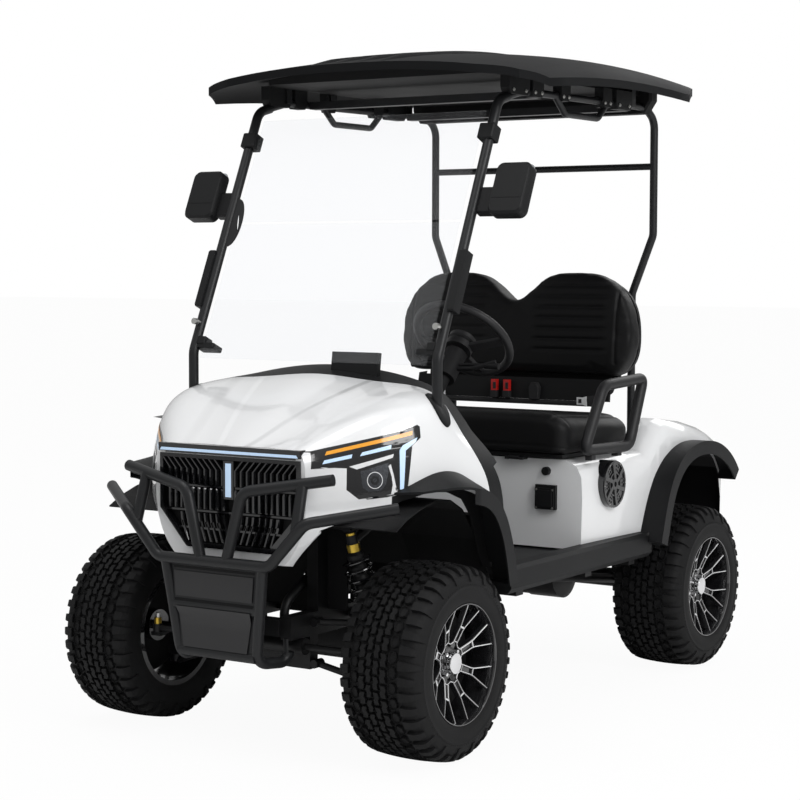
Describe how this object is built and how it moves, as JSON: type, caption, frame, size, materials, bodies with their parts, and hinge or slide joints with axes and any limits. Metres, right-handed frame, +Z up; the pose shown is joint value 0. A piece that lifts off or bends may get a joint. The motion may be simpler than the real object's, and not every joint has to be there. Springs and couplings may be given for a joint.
{
  "type": "golf cart",
  "caption": "Lifted electric golf cart with one bench seat under a crowned roof, split clear windshield, tube brush guard, fender flares and knobbly off-road tyres on split-spoke rims.",
  "frame": {"origin": "on the ground, midway along and across the cart", "axes": "+Z up, the cart faces -Y, and the driver's side is +X"},
  "size_m": [1.33, 2.415, 2.1722],
  "materials": {
    "white_body": "gloss",
    "black_plastic": "matte",
    "black_gloss": "gloss",
    "black_steel": "satin",
    "silver_steel": "satin",
    "seat_vinyl": "satin",
    "tyre_rubber": "matte",
    "rim_metal": "gloss",
    "clear_pane": "gloss",
    "lamp_lens": "gloss",
    "red_lens": "gloss"
  },
  "bodies": {
    "chassis": {"armrests": "black_plastic", "backrest_cushion": "seat_vinyl", "backrest_shell": "black_plastic", "battery_pack": "black_plastic", "brush_guard": "black_steel", "bulkhead": "black_plastic", "charge_port": "black_plastic", "control_arms": "black_steel", "dashboard": "black_plastic", "drive_motor": "black_steel", "drop_frame": "black_steel", "floor_pan": "black_plastic", "front_cowl": "white_body", "front_flares": "black_plastic", "front_lamps": "lamp_lens", "front_struts": "black_steel", "grille": "black_gloss", "hinge_ears": "black_steel", "ladder_frame": "black_steel", "mirrors": "black_plastic", "pedals": "black_plastic", "rear_arms": "black_steel", "rear_axle": "black_steel", "rear_body": "white_body", "rear_bumper": "black_steel", "rear_flares": "black_plastic", "rear_struts": "black_steel", "roof": "black_plastic", "roof_rails": "black_steel", "shock_absorbers": "black_steel", "sills": "black_plastic", "speakers": "black_plastic", "steering_column": "black_plastic", "steering_gear": "black_steel", "tail_lamps": "red_lens", "wheel_liners": "black_plastic", "windshield": "clear_pane", "windshield_clamps": "black_plastic"},
    "seat_lid": {"seat_cushion": "seat_vinyl", "seat_pan": "black_plastic"},
    "knuckle_left": {"knuckle_left": "black_steel"},
    "knuckle_right": {"knuckle_right": "black_steel"},
    "steering_rack": {"steering_rack": "silver_steel"},
    "steering_wheel": {"steering_wheel": "black_plastic"},
    "wheel_fl": {"tyre_fl": "tyre_rubber", "rim_fl": "rim_metal"},
    "wheel_fr": {"tyre_fr": "tyre_rubber", "rim_fr": "rim_metal"},
    "wheel_rl": {"tyre_rl": "tyre_rubber", "rim_rl": "rim_metal"},
    "wheel_rr": {"tyre_rr": "tyre_rubber", "rim_rr": "rim_metal"}
  },
  "joints": [
    {"name": "seat_lid_hinge", "type": "hinge", "parent": "chassis", "child": "seat_lid", "pos_m": [0, 0.024, 0.81], "axis": [1, 0, 0], "range_deg": [0, 50]},
    {"name": "steer_left", "type": "hinge", "parent": "chassis", "child": "knuckle_left", "pos_m": [0.42, -0.846, 0.292], "axis": [0, 0, 1], "range_deg": [-25, 25]},
    {"name": "steer_right", "type": "hinge", "parent": "chassis", "child": "knuckle_right", "pos_m": [-0.42, -0.846, 0.292], "axis": [0, 0, 1], "range_deg": [-25, 25]},
    {"name": "rack_slide", "type": "slide", "parent": "chassis", "child": "steering_rack", "axis": [1, 0, 0], "range_m": [-0.068, 0.068]},
    {"name": "steering_turn", "type": "hinge", "parent": "chassis", "child": "steering_wheel", "pos_m": [0.23, -0.163, 1.208], "axis": [0, 0.7022, 0.712], "range_deg": [-301, 301]},
    {"name": "spin_fl", "type": "hinge", "parent": "knuckle_left", "child": "wheel_fl", "pos_m": [0.526, -0.846, 0.292], "axis": [1, 0, 0], "continuous": true},
    {"name": "spin_fr", "type": "hinge", "parent": "knuckle_right", "child": "wheel_fr", "pos_m": [-0.526, -0.846, 0.292], "axis": [1, 0, 0], "continuous": true},
    {"name": "spin_rl", "type": "hinge", "parent": "chassis", "child": "wheel_rl", "pos_m": [0.526, 0.854, 0.292], "axis": [1, 0, 0], "continuous": true},
    {"name": "spin_rr", "type": "hinge", "parent": "chassis", "child": "wheel_rr", "pos_m": [-0.526, 0.854, 0.292], "axis": [1, 0, 0], "continuous": true}
  ],
  "couplings": [
    {"joint": "steer_right", "follows": "steer_left", "ratio": 1},
    {"joint": "rack_slide", "follows": "steer_left", "m_per_rad": 0.154},
    {"joint": "steering_turn", "follows": "steer_left", "ratio": 12}
  ]
}
